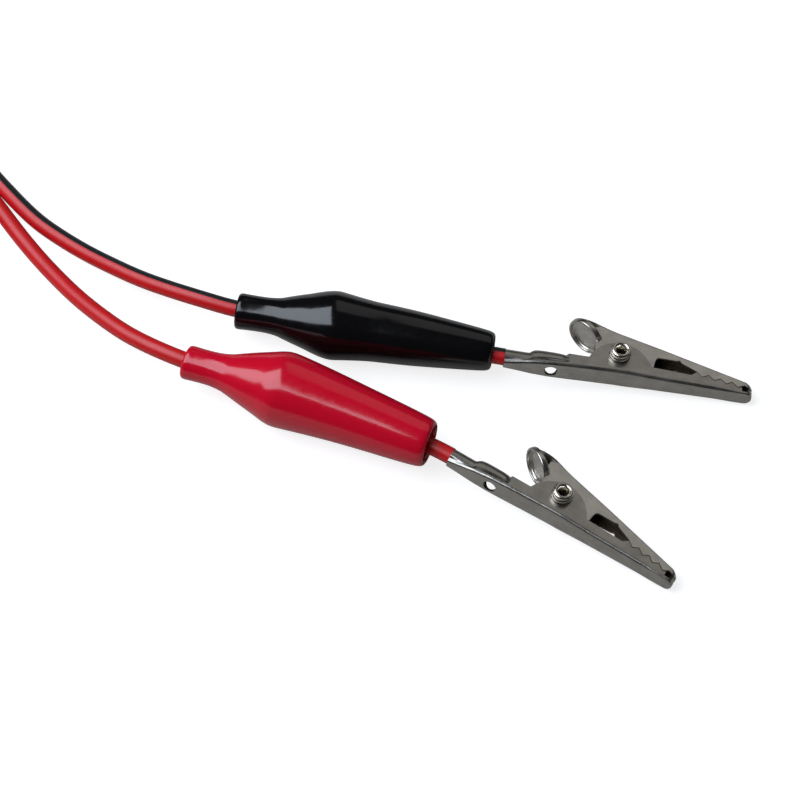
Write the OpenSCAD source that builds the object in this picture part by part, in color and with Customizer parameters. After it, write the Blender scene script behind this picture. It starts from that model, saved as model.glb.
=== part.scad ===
// A pair of bench test leads: one twin red cable, two sprung crocodile clips
// with sliding insulating boots at one end and two 4 mm plugs at the other.
// Millimetres, +Z up. The clips lie on their sides on the plane z = 0 and the
// origin is under the middle of the two clips with their boots.
// Inside a clip, x runs from the pivot to the nose, y is the pivot's axis and
// z points from the lower jaw to the upper jaw.

/* [Clip] */
// Thickness of the jaw sheet
sheet = 0.45; // [0.40:0.05:0.45]
// Width of the lower jaw across its ears
channel_w = 5; // [5:0.05:5.2]
// Width across the nose of either jaw
nose_w = 3.3; // [3.2:0.05:3.4]
// Distance from one tooth to the next
tooth_pitch = 2.4; // [2.0:0.1:2.8]
// Height of a tooth from valley to point
tooth_depth = 0.84; // [0.6:0.02:0.9]
// Gap between the closed rows of teeth
tooth_gap = 0.16; // [0.12:0.02:0.2]
// Diameter of the round thumb pad
pad_d = 8; // [7.6:0.1:8.2]
// Depth of the cup in the thumb pad, rim to outside of its back
pad_depth = 1.3; // [1.1:0.1:1.5]
// Radius of the two ears that hold the pivot
ear_r = 6.5; // [6.3:0.1:6.6]
// Diameter of the tubular rivet's barrel
rivet_d = 2.2; // [2.0:0.1:2.4]
// Diameter of the rivet's rolled head
rivet_head_d = 4.1; // [3.8:0.1:4.4]
// Wire thickness of the jaw spring
spring_wire_d = 0.6; // [0.5:0.05:0.6]

/* [Boot] */
// Length of the insulating boot
boot_len = 51.5; // [50:0.5:52]
// Largest diameter of the red boot, over its bulge
red_boot_d = 15.2; // [15.0:0.1:15.3]
// Largest diameter of the black boot, over its bulge
black_boot_d = 13.8; // [13.6:0.1:14.0]
// Outer diameter of the narrow end on the cable
boot_neck_d = 7; // [6.9:0.1:7.2]
// Outer diameter of the red boot's end that faces the clip
red_mouth_d = 10; // [9.8:0.1:10.2]
// Outer diameter of the black boot's end that faces the clip
black_mouth_d = 8.2; // [8.0:0.1:8.4]
// Wall thickness of the boot
boot_wall = 0.9; // [0.8:0.05:0.95]

/* [Cable] */
// Diameter of one insulated conductor
wire_d = 3.4; // [3.3:0.05:3.4]
// Outer radius of the wound spare cable
coil_outer_r = 33.3; // [33:0.1:33.6]
// Radius of the hole in the wound spare cable
coil_inner_r = 7.6; // [7:0.1:8]
// Width of the tie that holds the spare cable
tie_w = 4; // [3:0.5:6]

/* [Plug] */
// Diameter of the plug's spring pin
pin_d = 4; // [3.9:0.05:4]
// Length of the pin that stands out of its sleeve
pin_len = 17; // [15:0.5:19]
// Diameter of the plug's insulating sleeve
sleeve_d = 9.8; // [9.4:0.1:9.8]
// Length of the sleeve
sleeve_len = 28; // [26:1:30]

/* [Layout] */
// Angle of the black clip below the +X direction
black_heading = 7.1; // [6.9:0.1:7.3]
// Angle of the red clip below the +X direction
red_heading = 30.7; // [30.5:0.1:30.9]
// Angle by which both clips lean nose down
clip_pitch = 5.5; // [5.4:0.1:5.6]
// Which piece to show

/* [Hidden] */
eps = 0.01;
red = 0;
black = 1;

// Colours
steel = [0.66, 0.62, 0.57];
copper = [0.78, 0.45, 0.25];
red_pvc = [0.80, 0.05, 0.08];
black_pvc = [0.08, 0.08, 0.09];
wire_red = [0.86, 0.08, 0.05];
stripe_red = [0.55, 0.05, 0.05];
tie_white = [0.9, 0.9, 0.88];
lead_colour = [red_pvc, black_pvc];

// Heights inside a clip, measured from the pivot
floor_out = -4.25;
floor_in = floor_out + sheet;
low_wall = -1.5;
ear_z = -3.75;
ear_x = 0.2;
half_w = channel_w / 2;
upper_half_w = half_w - sheet - 0.1;
nose_x = 26.9;
rear_x = -10.3;

// The wire barrel at the rear of the lower jaw
barrel_rear = -22.5;
barrel_len = 4.9;
barrel_z = -3.15;
barrel_r = 1.8;
barrel_bore = 1.35;
hump_x = -17.2;
hump_len = 6.8;
hump_r = 1.9;
floor_hole_x = -13.1;
floor_hole_r = 1.35;

// The roof of the upper jaw falls to the nose in a straight line
roof_rear = [-5.5, 7.14];
roof_end = [-8.6, 7.3];
roof_nose = [26, -1.18];
pad_centre = [-7.25, 4.65];
pad_tilt = 35.7;
pad_wall = 0.5;

// The two rows of teeth meet along a sloping zigzag
tooth_x = 15.55;
tooth_z = -1.31;
tooth_slope = -0.145;
tooth_end = 25.2;
half_pitch = tooth_pitch / 2;
tooth_count = floor((tooth_end - tooth_x) / half_pitch);

function tooth_at(k, side) = [
    tooth_x + k * half_pitch,
    tooth_z + tooth_slope * k * half_pitch
        + (k % 2 == 0 ? 1 : -1) * tooth_depth / 2
        + side * tooth_gap / 2
];
function arc_at(c, r, a) = [c[0] + r * cos(a), c[1] + r * sin(a)];

// Half widths of the jaws along their length: [x, half width]
low_plan = [
    [-18.2, 1.6], [-13, half_w - 0.1], [-10, half_w], [2, half_w], [7, half_w - 0.45],
    [25.8, nose_w / 2], [26.5, nose_w / 2 - 0.3], [nose_x, nose_w / 2 - 0.85]
];
low_inside = [
    [-19, 1.6], [-13, half_w - 0.1], [-10, half_w], [2, half_w], [7, half_w - 0.45],
    [25.8, nose_w / 2], [nose_x - sheet, nose_w / 2 - 0.4]
];
up_plan = [
    [-9, upper_half_w], [2, upper_half_w], [6, upper_half_w - 0.39], [8.5, upper_half_w - 0.05],
    [25.8, nose_w / 2], [26.5, nose_w / 2 - 0.3], [nose_x, nose_w / 2 - 0.85]
];
up_inside = [
    [-10, upper_half_w], [2, upper_half_w], [6, upper_half_w - 0.39], [8.5, upper_half_w - 0.05],
    [25.8, nose_w / 2], [nose_x - sheet, nose_w / 2 - 0.4]
];
// The roof widens behind the walls and meets the thumb pad
roof_plan = concat(
    [[-9, 3.2], [-7.4, 3], [-6, 2.6], [-4.6, 2.1], [-3.6, upper_half_w]],
    [for (i = [1 : len(up_plan) - 1]) up_plan[i]]
);
function outline(plan, inset) = concat(
    [for (p = plan) [p[0], inset - p[1]]],
    [for (i = [len(plan) - 1 : -1 : 0]) [plan[i][0], plan[i][1] - inset]]
);

ear_angle = asin((low_wall - ear_z) / ear_r);
low_side = concat(
    [[rear_x, floor_out], [rear_x, low_wall]],
    [for (i = [0 : 20]) arc_at([ear_x, ear_z], ear_r, 180 - ear_angle - i * (180 - 2 * ear_angle) / 20)],
    [[14.5, low_wall + 0.05]],
    [for (k = [0 : tooth_count - 1]) tooth_at(k, -1)],
    [[24.6, -2.76], [24.6, floor_in + 0.1], [26, floor_in + 0.1], [26.1, -2.8], [nose_x, -2.8],
     [nose_x, floor_out]]
);
up_side = concat(
    [roof_rear, [-7, 7.2], [-8.3, 7.15], [-8.4, 6.85], [-4, 3.7], [-4.6, 2.85], [-4.9, 1.4],
     [-4.2, -1.2], [-2.0, -2.6], [2.6, -2.7],
     [6.4, -1.6], [7.0, -1.4], [7.4, 1.0], [11.3, 1.0], [12.0, 1.15], [12.9, 0.35]],
    [for (k = [0 : tooth_count]) tooth_at(k, 1)],
    [[26.1, -2.6], [nose_x, -2.6], [nose_x, -1.6], roof_nose]
);
up_roof = [
    roof_end, roof_end - [0, sheet], [-7, roof_end[1] - sheet], roof_rear - [0.05, sheet],
    [roof_nose[0] - 0.3, roof_nose[1] - sheet - 0.02], [nose_x - sheet, -1.9], [nose_x - sheet, -2.6],
    [nose_x, -2.6], [nose_x, -1.6], roof_nose, roof_rear, [-7, roof_end[1]]
];

// Where each clip lies: the point at the rear of its wire barrel
clip_at = [[-3.2, -4.95, 6.95], [7.4, 17.6, 6.8]];
clip_heading = [red_heading, black_heading];
clip_roll = [8, 6];

// Where each boot lies: centre of its narrow end, and its heading
boot_at = [[-55.3, 16.15, red_boot_d / 2], [-45.5, 28.25, black_boot_d / 2]];
boot_heading = [20.7, 10.5];

// Outline of a boot: distance from the narrow end, and how far the radius has
// gone from the neck's to the bulge's, or back from the bulge's to the mouth's
boot_rise = [
    [0, -0.06], [0.5, 0], [6, 0.01], [8.2, 0.09], [10, 0.25], [12, 0.42], [14, 0.59], [16, 0.755],
    [18, 0.92], [19.9, 1]
];
boot_fall = [
    [21.8, 0.945], [23.8, 0.86], [27.6, 0.71], [33.5, 0.545], [39.3, 0.37], [45.2, 0.185],
    [49.7, 0.02], [boot_len - 0.7, -0.07], [boot_len, -0.2]
];
function boot_curve(lead) =
    let (
        neck = boot_neck_d / 2,
        big = (lead == red ? red_boot_d : black_boot_d) / 2,
        mouth = (lead == red ? red_mouth_d : black_mouth_d) / 2
    )
    concat(
        [for (p = boot_rise) [p[0], neck + p[1] * (big - neck)]],
        [for (p = boot_fall) [p[0], mouth + p[1] * (big - mouth)]]
    );

// Routes of the cable's two cores between clip and coil
red_route = [
    [-3.2, -4.95, 6.95], [-7.5, -2.6, 7.3], [-15, 0.3, 7.4], [-23, 3.4, 7.4], [-31, 6.5, 7.5],
    [-39, 9.7, 7.6], [-47, 12.9, 7.6], [-55.5, 16.3, 7.6], [-61.8, 19.5, 7.2], [-67.5, 23.4, 6.1],
    [-72.7, 28, 5], [-77.5, 32.9, 3.8], [-82, 38.2, 2.7], [-86.3, 43.6, 2], [-90.5, 49.2, 1.7],
    [-94.5, 55, 1.7], [-98.3, 60.6, 1.8]
];
black_route = [
    [7.4, 17.6, 6.8], [3, 18.3, 7.1], [-5, 20, 7.1], [-13, 21.7, 7.2], [-21, 23.4, 7.2],
    [-29, 25, 7.2], [-37.5, 26.8, 7.2], [-45.9, 28.5, 7.2], [-52.6, 30.8, 7.2], [-58.9, 33.6, 6.2],
    [-65, 36.8, 5], [-70.8, 40.5, 3.8], [-76.5, 44.4, 2.7], [-82.1, 48.6, 2], [-87.5, 53.1, 1.7],
    [-92.3, 58, 1.8], [-96, 63, 2.8], [-99, 67, 4.4], [-101.3, 69.8, 5.4]
];
cable_route = [red_route, black_route];

// Wound spare cable and the two tails that leave it for the plugs
coil_at = [-132, 54];
coil_low = 0.6;
coil_high = 7.5;
red_tail_route = [
    [-138.9, 50.4, 9.3], [-136.4, 42.4, 9.3], [-134, 34.5, 9.3], [-131, 27, 9.3],
    [-128, 20.5, 9.2], [-125.2, 14.5, 7.6], [-122.8, 9, 5.6], [-122, 5, 4.9], [-122, 2, 4.9]
];
black_tail_route = [
    [-142.2, 49.6, 9.3], [-139.8, 41.5, 9.3], [-138, 33.5, 9.3], [-137.2, 26.5, 9.3],
    [-138.2, 19.5, 9.2], [-140, 14, 7.6], [-141.5, 9, 5.6], [-142, 5, 4.9], [-142, 2, 4.9]
];
tail_route = [red_tail_route, black_tail_route];
plug_at = [[-122, 2, 4.9], [-142, 2, 4.9]];
collar_len = 7;
pin_step = 0.3;
tie_angle = 300;
tie_sheet = 0.5;

// Direction of a route at point i, and the two directions across it
function unit(v) = v / norm(v);
function along(p, i) = unit(p[min(i + 1, len(p) - 1)] - p[max(i - 1, 0)]);
function across(t) = unit(cross([0, 0, 1], t));
function ring_at(c, t, r, sides) = [
    for (j = [0 : sides - 1])
        let (u = across(t), v = cross(t, u), a = (j + 0.5) * 360 / sides)
            c + r * (cos(a) * u + sin(a) * v)
];

// A round cable that follows a list of points
module cable(points, d, sides = 8) {
    last = len(points) - 1;
    rings = [for (i = [0 : last]) each ring_at(points[i], along(points, i), d / 2, sides)];
    walls = [
        for (i = [0 : last - 1], j = [0 : sides - 1])
            let (a = i * sides + j, b = i * sides + (j + 1) % sides)
                each [[a, a + sides, b], [b, a + sides, b + sides]]
    ];
    polyhedron(
        points = rings,
        faces = concat(
            [[for (j = [0 : sides - 1]) j]],
            walls,
            [[for (j = [sides - 1 : -1 : 0]) last * sides + j]]
        )
    );
}

// Puts a clip's own frame where the clip lies
module at_clip(lead) {
    translate(clip_at[lead])
        rotate([-90 - clip_roll[lead], clip_pitch, -clip_heading[lead]])
            translate([-barrel_rear, 0, -barrel_z])
                children();
}

// Puts a boot's axis, x from its narrow end to its mouth, where the boot lies
module at_boot(lead) {
    translate(boot_at[lead])
        rotate([0, 0, -boot_heading[lead]])
            children();
}

// Puts a plug's axis, x from its cable end to its tip, where the plug lies
module at_plug(lead) {
    translate(plug_at[lead])
        rotate([0, 0, -90])
            children();
}

// Extrudes a side view, x and z, across the clip
module side_view(points, width = 12) {
    rotate([90, 0, 0])
        linear_extrude(height = width, center = true)
            polygon(points);
}

// The two side walls of a jaw, bent in plan along its length
module jaw_walls(side, plan, inside) {
    intersection() {
        side_view(side);
        translate([0, 0, -8])
            linear_extrude(height = 20)
                difference() {
                    polygon(outline(plan, 0));
                    polygon(outline(inside, sheet));
                }
    }
}

module x_cylinder(x, len, r, z = 0, sides = 48) {
    translate([x, 0, z])
        rotate([0, 90, 0])
            cylinder(r = r, h = len, $fn = sides);
}

module y_bore(r, len = 16) {
    rotate([90, 0, 0])
        cylinder(r = r, h = len, center = true, $fn = 64);
}

// A straight round rod between two points
module rod(a, b, r) {
    d = b - a;
    translate(a)
        rotate([0, acos(d[2] / norm(d)), atan2(d[1], d[0])])
            cylinder(r = r, h = norm(d), $fn = 24);
}

module lower_jaw(lead) {
    color(steel)
        at_clip(lead)
            difference() {
                union() {
                    translate([0, 0, floor_out])
                        linear_extrude(height = sheet)
                            polygon(outline(low_plan, 0));
                    jaw_walls(low_side, low_plan, low_inside);
                    // Conductor crimp: two wings folded over the strands
                    translate([hump_x, 0, 0])
                        rotate([90, 0, 90])
                            linear_extrude(height = hump_len)
                                difference() {
                                    union() {
                                        translate([0, low_wall])
                                            circle(r = hump_r, $fn = 48);
                                        translate([-hump_r, floor_out])
                                            square([2 * hump_r, low_wall - floor_out]);
                                    }
                                    translate([0, low_wall])
                                        circle(r = hump_r - sheet, $fn = 48);
                                    translate([sheet - hump_r, floor_in])
                                        square([2 * (hump_r - sheet), low_wall - floor_in]);
                                }
                    x_cylinder(barrel_rear, barrel_len, barrel_r, barrel_z);
                }
                x_cylinder(barrel_rear - 1, barrel_len + 1, barrel_bore, barrel_z);
                y_bore(rivet_d / 2 + 0.02);
                translate([floor_hole_x, 0, floor_out - 1])
                    cylinder(r = floor_hole_r, h = 1 + sheet + 0.1, $fn = 48);
            }
}

module upper_jaw(lead) {
    back = pad_depth - pad_wall;
    color(steel)
        at_clip(lead)
            difference() {
                union() {
                    jaw_walls(up_side, up_plan, up_inside);
                    intersection() {
                        side_view(up_roof);
                        translate([0, 0, -8])
                            linear_extrude(height = 20)
                                polygon(outline(roof_plan, 0));
                    }
                    // Round thumb pad, a shallow cup that opens down and back
                    translate([pad_centre[0], 0, pad_centre[1]])
                        rotate([0, pad_tilt, 0])
                            difference() {
                                cylinder(d = pad_d, h = pad_depth, $fn = 72);
                                translate([0, 0, -1])
                                    cylinder(r = pad_d / 2 - pad_wall, h = 1 + back, $fn = 72);
                            }
                }
                y_bore(rivet_d / 2 + 0.06);
            }
}

// A tubular rivet with a rolled head at each end
module pivot_rivet(lead) {
    head_r = rivet_head_d / 2;
    bore_r = rivet_d / 2 - 0.4;
    // The upper head stands on a collar
    head_h = [1.9, 1.3];
    function head(h) = [
        [bore_r, half_w], [head_r - 0.1, half_w], [head_r, half_w + 0.15], [head_r, half_w + h - 0.5],
        [head_r - 0.2, half_w + h - 0.12], [head_r - 0.6, half_w + h],
        [head_r - 1, half_w + h - 0.15], [bore_r, half_w + h - 0.6]
    ];
    color(steel)
        at_clip(lead)
            rotate([90, 0, 0]) {
                for (flip = [0, 1])
                    mirror([0, 0, flip])
                        rotate_extrude($fn = 64)
                            polygon(head(head_h[flip]));
                difference() {
                    cylinder(d = rivet_d, h = 2 * half_w + 2 * eps, center = true, $fn = 64);
                    cylinder(r = bore_r, h = 2 * half_w + 1, center = true, $fn = 48);
                }
            }
}

// A torsion spring wound round the rivet, with one leg on the floor of the
// lower jaw and the other under the roof of the upper jaw
module jaw_spring(lead) {
    coil_r = 1.3 + spring_wire_d;
    coil_w = 2.4;
    leg_y = coil_w / 2 - spring_wire_d / 2 - 0.08;
    leg_r = spring_wire_d / 2;
    color(steel)
        at_clip(lead)
            union() {
                difference() {
                    y_bore(coil_r, coil_w);
                    y_bore(1.3);
                }
                rod([-0.6, leg_y, -1.5], [-8, leg_y, -3.15], leg_r);
                rod([-1.2, -leg_y, 1.1], [-2.3, -leg_y, 5.2], leg_r);
            }
}

// The end of the conductor inside the wire barrel
module crimped_core(lead) {
    color(copper)
        at_clip(lead)
            union() {
                x_cylinder(barrel_rear, 4.8, barrel_bore - 0.05, barrel_z);
                x_cylinder(barrel_rear + 4.6, 3.3, 0.85, barrel_z + 0.38);
                x_cylinder(hump_x + 0.2, hump_len - 0.4, hump_r - sheet - 0.05, low_wall - 0.05);
            }
}

module boot(lead) {
    curve = boot_curve(lead);
    last = len(curve) - 1;
    section = concat(
        [for (p = curve) [p[1], p[0]]],
        [[curve[last - 1][1] - boot_wall, boot_len]],
        [for (i = [last - 1 : -1 : 1]) [curve[i][1] - boot_wall, curve[i][0]]],
        [[boot_neck_d / 2 - boot_wall, 0]]
    );
    color(lead_colour[lead])
        at_boot(lead)
            rotate([0, 90, 0])
                rotate_extrude($fn = 96)
                    polygon(section);
}

module wire(lead) {
    color(lead == red ? wire_red : stripe_red)
        cable(cable_route[lead], wire_d);
}

module tail(lead) {
    color(lead == red ? wire_red : stripe_red)
        cable(tail_route[lead], wire_d);
}

module plug_collar(lead) {
    color(lead_colour[lead])
        at_plug(lead)
            rotate([0, 90, 0])
                rotate_extrude($fn = 64)
                    polygon([
                        [0, 0], [2.6, 0], [2.9, 0.4], [sleeve_d / 2 - 1, collar_len - 0.4],
                        [sleeve_d / 2 - 1, collar_len], [0, collar_len]
                    ]);
}

module plug_sleeve(lead) {
    r = sleeve_d / 2;
    bore = pin_d / 2 - pin_step;
    screw_x = collar_len + sleeve_len / 2;
    color(lead_colour[lead])
        at_plug(lead)
            difference() {
                translate([collar_len, 0, 0])
                    rotate([0, 90, 0])
                        rotate_extrude($fn = 72)
                            polygon([
                                [0, 0], [r - 0.4, 0], [r, 0.5], [r, 6], [r - 0.7, 7.2],
                                [r - 0.7, sleeve_len - 5], [r, sleeve_len - 4],
                                [r, sleeve_len - 0.5], [r - 0.4, sleeve_len], [bore, sleeve_len],
                                [bore, 6], [0, 6]
                            ]);
                translate([screw_x, 0, bore])
                    cylinder(r = 1.25, h = r, $fn = 32);
            }
}

// The slotted set screw in the side of the sleeve
module plug_screw(lead) {
    screw_x = collar_len + sleeve_len / 2;
    color(steel)
        at_plug(lead)
            translate([screw_x, 0, pin_d / 2 - pin_step])
                difference() {
                    cylinder(r = 1.2, h = 2.2, $fn = 32);
                    translate([-1.5, -0.2, 1.7])
                        cube([3, 0.4, 1]);
                }
}

// The plug's pin, sprung by two crossed slits, on a thinner shank in the sleeve
module plug_pin(lead) {
    r = pin_d / 2;
    start = collar_len + 6;
    step = sleeve_len - 6;
    tip = collar_len + sleeve_len + pin_len;
    slit_len = pin_len - 5;
    color(steel)
        at_plug(lead)
            difference() {
                translate([start, 0, 0])
                    rotate([0, 90, 0])
                        rotate_extrude($fn = 64)
                            polygon([
                                [0, 0], [r - pin_step, 0], [r - pin_step, step], [r, step],
                                [r, tip - start - 1.4], [r - 0.25, tip - start - 0.6],
                                [r - 0.8, tip - start], [0, tip - start]
                            ]);
                for (turn = [0, 90])
                    rotate([turn + 45, 0, 0])
                        translate([tip - slit_len - 1.5, -0.15, -r - 1])
                            cube([slit_len - 1, 0.3, 2 * r + 2]);
            }
}

// The outer shape of the wound spare cable
module cable_coil() {
    chamfer = 1;
    color(wire_red)
        translate([coil_at[0], coil_at[1], 0])
            rotate_extrude($fn = 120)
                polygon([
                    [coil_inner_r, coil_low + chamfer], [coil_inner_r + chamfer, coil_low],
                    [coil_outer_r - chamfer, coil_low], [coil_outer_r, coil_low + chamfer],
                    [coil_outer_r, coil_high - chamfer], [coil_outer_r - chamfer, coil_high],
                    [coil_inner_r + chamfer, coil_high], [coil_inner_r, coil_high - chamfer]
                ]);
}

// A flat plastic tie round the section of the coil
module coil_tie() {
    low_x = coil_inner_r - 0.4;
    high_x = coil_outer_r + 0.1;
    t = tie_sheet;
    color(tie_white)
        translate([coil_at[0], coil_at[1], 0])
            rotate([0, 0, tie_angle])
                rotate([90, 0, 0])
                    linear_extrude(height = tie_w, center = true)
                        difference() {
                            translate([low_x - t, 0])
                                square([high_x - low_x + 2 * t, coil_high + 0.1 + t]);
                            translate([low_x, t])
                                square([high_x - low_x, coil_high + 0.1 - t]);
                        }
}

lower_jaw(red);  // red_lower_jaw
upper_jaw(red);  // red_upper_jaw
pivot_rivet(red);  // red_pivot_rivet
jaw_spring(red);  // red_jaw_spring
crimped_core(red);  // red_crimped_core
boot(red);  // red_boot
wire(red);  // red_wire
tail(red);  // red_tail
plug_pin(red);  // red_plug_pin
plug_sleeve(red);  // red_plug_sleeve
plug_screw(red);  // red_plug_screw
plug_collar(red);  // red_plug_collar
lower_jaw(black);  // black_lower_jaw
upper_jaw(black);  // black_upper_jaw
pivot_rivet(black);  // black_pivot_rivet
jaw_spring(black);  // black_jaw_spring
crimped_core(black);  // black_crimped_core
boot(black);  // black_boot
wire(black);  // black_wire
tail(black);  // black_tail
plug_pin(black);  // black_plug_pin
plug_sleeve(black);  // black_plug_sleeve
plug_screw(black);  // black_plug_screw
plug_collar(black);  // black_plug_collar
cable_coil();
coil_tie();
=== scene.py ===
"""Bench test leads: two sheet metal clips with sliding boots on a twin cable, and two 4 mm plugs.

The pieces' lengths are in millimetres, and become metres as each piece is placed. The camera, the
lights, the floor and the depths of bumps are in metres."""

import math

import bmesh
import bpy
import numpy as np
from mathutils import Matrix, Vector


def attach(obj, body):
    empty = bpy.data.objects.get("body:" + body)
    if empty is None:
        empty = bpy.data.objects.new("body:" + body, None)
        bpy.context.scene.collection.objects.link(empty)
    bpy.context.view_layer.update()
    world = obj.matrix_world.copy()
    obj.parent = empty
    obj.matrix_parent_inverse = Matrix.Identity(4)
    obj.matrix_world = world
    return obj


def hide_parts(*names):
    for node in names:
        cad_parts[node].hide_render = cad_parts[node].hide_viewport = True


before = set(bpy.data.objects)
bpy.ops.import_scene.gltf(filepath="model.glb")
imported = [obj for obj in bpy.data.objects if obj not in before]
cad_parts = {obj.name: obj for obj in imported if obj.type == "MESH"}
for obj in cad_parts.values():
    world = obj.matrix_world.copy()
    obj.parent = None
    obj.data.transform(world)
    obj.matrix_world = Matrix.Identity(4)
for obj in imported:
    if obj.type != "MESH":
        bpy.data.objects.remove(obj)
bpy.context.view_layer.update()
MM = 0.001
LEADS = ("red", "black")


def placed(name, data):
    """A new object in the scene with this mesh, light or camera."""
    obj = bpy.data.objects.new(name, data)
    bpy.context.collection.objects.link(obj)
    return obj


# ---------------------------------------------------------------- camera

CAMERA_AIM = Vector((-0.0132, 0.0094, 0.004))
CAMERA_AWAY = 0.65
CAMERA_UP = 60  # degrees above the table

camera = placed("Camera", bpy.data.cameras.new("Camera"))
bpy.context.scene.camera = camera
camera.data.lens = 148.6
camera.data.sensor_width = 36
camera.data.clip_start = 0.01
camera.data.clip_end = 20
lift = math.radians(CAMERA_UP)
camera.location = CAMERA_AIM + CAMERA_AWAY * Vector((0, -math.cos(lift), math.sin(lift)))
camera.rotation_euler = (math.radians(90 - CAMERA_UP), 0, 0)


# ---------------------------------------------------------------- lines and meshes

def smooth_step(a, b, x):
    t = min(max((x - a) / (b - a), 0.0), 1.0)
    return t * t * (3 - 2 * t)


def lengths(points):
    return np.r_[0, np.cumsum(np.linalg.norm(np.diff(points, axis=0), axis=1))]


def through(points, step):
    """A smooth line through points, a step apart: a centripetal Catmull-Rom curve."""
    p = np.asarray(points, float)
    p = np.vstack([2 * p[0] - p[1], p, 2 * p[-1] - p[-2]])
    out = []
    for i in range(1, len(p) - 2):
        p0, p1, p2, p3 = p[i - 1:i + 3]
        t0 = 0.0
        t1 = t0 + np.linalg.norm(p1 - p0) ** 0.5
        t2 = t1 + np.linalg.norm(p2 - p1) ** 0.5
        t3 = t2 + np.linalg.norm(p3 - p2) ** 0.5
        n = max(2, int(np.linalg.norm(p2 - p1) / step * 3))
        for t in np.linspace(t1, t2, n, endpoint=False):
            a1 = (t1 - t) / (t1 - t0) * p0 + (t - t0) / (t1 - t0) * p1
            a2 = (t2 - t) / (t2 - t1) * p1 + (t - t1) / (t2 - t1) * p2
            a3 = (t3 - t) / (t3 - t2) * p2 + (t - t2) / (t3 - t2) * p3
            b1 = (t2 - t) / (t2 - t0) * a1 + (t - t0) / (t2 - t0) * a2
            b2 = (t3 - t) / (t3 - t1) * a2 + (t - t1) / (t3 - t1) * a3
            out.append((t2 - t) / (t2 - t1) * b1 + (t - t1) / (t2 - t1) * b2)
    out.append(p[-2])
    return even(np.array(out), step)


def even(points, step):
    """The same line with points that stand a step apart."""
    s = lengths(points)
    n = max(2, int(round(s[-1] / step)) + 1)
    at = np.linspace(0, s[-1], n)
    return np.column_stack([np.interp(at, s, column) for column in points.T])


def eased(points, width):
    """The line with its corners eased; its two ends stay."""
    n = int(3 * width)
    k = np.exp(-0.5 * (np.arange(-n, n + 1) / width) ** 2)
    k /= k.sum()
    head = 2 * points[0] - points[n:0:-1]
    tail = 2 * points[-1] - points[-2:-n - 2:-1]
    full = np.vstack([head, points, tail])
    return np.column_stack([np.convolve(column, k, "valid") for column in full.T])


def tidy(obj, sharp=35):
    """Outward normals, and smooth shading that keeps real corners."""
    bm = bmesh.new()
    bm.from_mesh(obj.data)
    bmesh.ops.recalc_face_normals(bm, faces=bm.faces)
    bm.to_mesh(obj.data)
    bm.free()
    obj.data.shade_smooth()
    obj.data.set_sharp_from_angle(angle=math.radians(sharp))


def new_object(name, verts, faces, matrix=None, scale=MM, material=None, sharp=35):
    mesh = bpy.data.meshes.new(name)
    if matrix is None:
        matrix = Matrix.Identity(4)
    points = [(matrix @ Vector(v)) * scale for v in verts]
    mesh.from_pydata(points, [], [list(map(int, f)) for f in faces])
    mesh.validate()
    obj = placed(name, mesh)
    tidy(obj, sharp)
    if material:
        mesh.materials.append(material)
    return obj


def settle(obj):
    """Applies the object's modifiers to its own mesh."""
    graph = bpy.context.evaluated_depsgraph_get()
    graph.update()
    mesh = bpy.data.meshes.new_from_object(obj.evaluated_get(graph))
    obj.modifiers.clear()
    old = obj.data
    obj.data = mesh
    bpy.data.meshes.remove(old)


def joined(obj, others):
    """Adds the others' meshes to the object's own, and deletes the others."""
    bm = bmesh.new()
    for o in [obj] + others:
        bm.from_mesh(o.data)
    bm.to_mesh(obj.data)
    bm.free()
    for o in others:
        bpy.data.objects.remove(o)


def cut(obj, cutters):
    """Cuts all the cutters from the object at once."""
    joined(cutters[0], cutters[1:])
    m = obj.modifiers.new("cut", "BOOLEAN")
    m.operation = "DIFFERENCE"
    m.solver = "EXACT"
    m.object = cutters[0]
    settle(obj)
    bpy.data.objects.remove(cutters[0])


def bevelled(obj):
    """Takes the sharpness off the sheet's edges."""
    m = obj.modifiers.new("edge", "BEVEL")
    m.width = 0.07
    m.segments = 2
    m.limit_method = "ANGLE"
    m.angle_limit = math.radians(40)
    m.harden_normals = False
    m.use_clamp_overlap = True
    settle(obj)


def cleaned(obj):
    """Takes out the slivers that cutting and bevelling leave."""
    gap = 0.006
    bm = bmesh.new()
    bm.from_mesh(obj.data)
    bmesh.ops.remove_doubles(bm, verts=bm.verts, dist=gap)
    bmesh.ops.dissolve_degenerate(bm, edges=bm.edges, dist=gap)
    seen = {}
    for f in bm.faces:
        seen.setdefault(frozenset(v.index for v in f.verts), []).append(f)
    doubled = [f for group in seen.values() if len(group) > 1 for f in group]
    bmesh.ops.delete(bm, geom=doubled, context="FACES")
    bmesh.ops.delete(bm, geom=[v for v in bm.verts if not v.link_faces], context="VERTS")
    bm.to_mesh(obj.data)
    bm.free()


def moved(obj, matrix):
    """Takes a piece made in millimetres, in its own frame, to its place in metres."""
    obj.data.transform(Matrix.Scale(MM, 4) @ matrix)


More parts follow.
